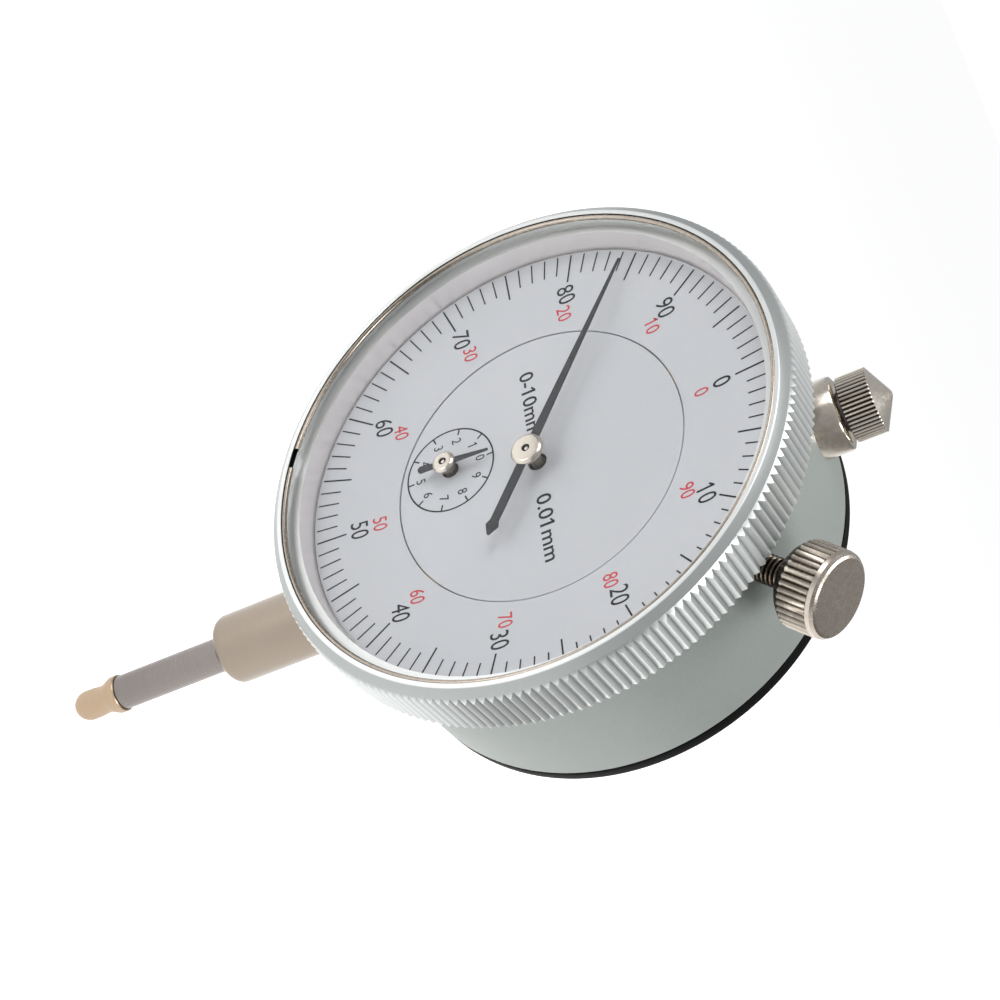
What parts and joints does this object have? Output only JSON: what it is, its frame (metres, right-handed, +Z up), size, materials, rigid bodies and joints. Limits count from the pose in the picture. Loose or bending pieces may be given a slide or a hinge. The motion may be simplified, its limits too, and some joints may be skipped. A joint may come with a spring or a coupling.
{
  "type": "dial indicator",
  "caption": "Plunger dial indicator with a knurled turning bezel, two hands, 8 mm clamping stem, lifting cap, lock screw and a lug back.",
  "frame": {"origin": "on the stem's axis, in the middle of the length a holder clamps", "axes": "+Z up along the stem and spindle towards the lifting cap, -Y out of the dial, +X to the dial's right"},
  "size_m": [0.058, 0.0396, 0.1],
  "materials": {
    "case": "satin",
    "bezel": "satin turned",
    "cover": "satin black",
    "nickel": "satin nickel plate",
    "steel": "ground",
    "crystal": "clear",
    "dial": "matte",
    "black": "matte black",
    "brass": "turned",
    "contact": "nickel brass"
  },
  "bodies": {
    "body": {"case": "case", "stem": "nickel", "upper_sleeve": "nickel", "back_cover": "cover", "cover_screw_1": "nickel", "cover_screw_2": "nickel", "cover_screw_3": "nickel", "cover_screw_4": "nickel", "inner_dial": "dial", "front_plate": "brass", "back_plate": "brass", "bush_centre_front": "contact", "bush_centre_back": "contact", "bush_first_front": "contact", "bush_first_back": "contact", "bush_return_front": "contact", "bush_return_back": "contact", "pillar_1": "brass", "pillar_2": "brass", "pillar_3": "brass", "plate_screw_1": "steel", "plate_screw_2": "steel", "plate_screw_3": "steel", "hair_spring": "steel", "hair_spring_stud": "brass", "rack_bracket": "brass", "guide_plate": "brass", "spring_post": "steel", "brake_shoe": "brass"},
    "plunger": {"spindle": "steel", "contact_point": "contact", "lifting_cap": "nickel", "guide_pin": "steel", "return_spring": "steel"},
    "first_arbor": {"rack_pinion": "steel", "first_wheel": "brass", "small_hand": "black", "small_hub": "nickel", "small_collet": "nickel"},
    "centre_arbor": {"centre_pinion": "steel", "main_hand": "black", "main_hub": "nickel", "main_collet": "nickel"},
    "return_arbor": {"return_pinion": "steel", "return_wheel": "brass"},
    "rim": {"bezel": "bezel", "crystal": "crystal", "crystal_ring": "nickel", "dial_ring": "dial"},
    "lock": {"lock_screw": "nickel"}
  },
  "joints": [
    {"name": "plunger_slide", "type": "slide", "parent": "body", "child": "plunger", "axis": [0, 0, 1], "range_m": [0, 0.01], "stiffness_N_per_m": 20, "springref_m": -0.035, "deforming": ["return_spring"]},
    {"name": "first_arbor_spin", "type": "hinge", "parent": "body", "child": "first_arbor", "pos_m": [-0.00339, -0.0117, 0.02523], "axis": [0, 1, 0], "range_deg": [-360.5, 0.5]},
    {"name": "main_hand_spin", "type": "hinge", "parent": "body", "child": "centre_arbor", "pos_m": [0, -0.0117, 0.035], "axis": [0, 1, 0], "range_deg": [-1, 3601]},
    {"name": "return_arbor_spin", "type": "hinge", "parent": "body", "child": "return_arbor", "pos_m": [0.00913, -0.0117, 0.03985], "axis": [0, 1, 0], "range_deg": [-360.5, 0.5]},
    {"name": "bezel_turn", "type": "hinge", "parent": "body", "child": "rim", "pos_m": [0, -0.0117, 0.035], "axis": [0, 1, 0], "continuous": true},
    {"name": "lock_screw_turn", "type": "hinge", "parent": "body", "child": "lock", "pos_m": [0, -0.0057, 0.035], "axis": [0.6921, 0, 0.7218], "range_deg": [-360, 360]}
  ],
  "couplings": [
    {"joint": "first_arbor_spin", "follows": "plunger_slide", "rad_per_m": -628.32},
    {"joint": "main_hand_spin", "follows": "plunger_slide", "rad_per_m": 6283.2},
    {"joint": "return_arbor_spin", "follows": "plunger_slide", "rad_per_m": -628.32}
  ]
}
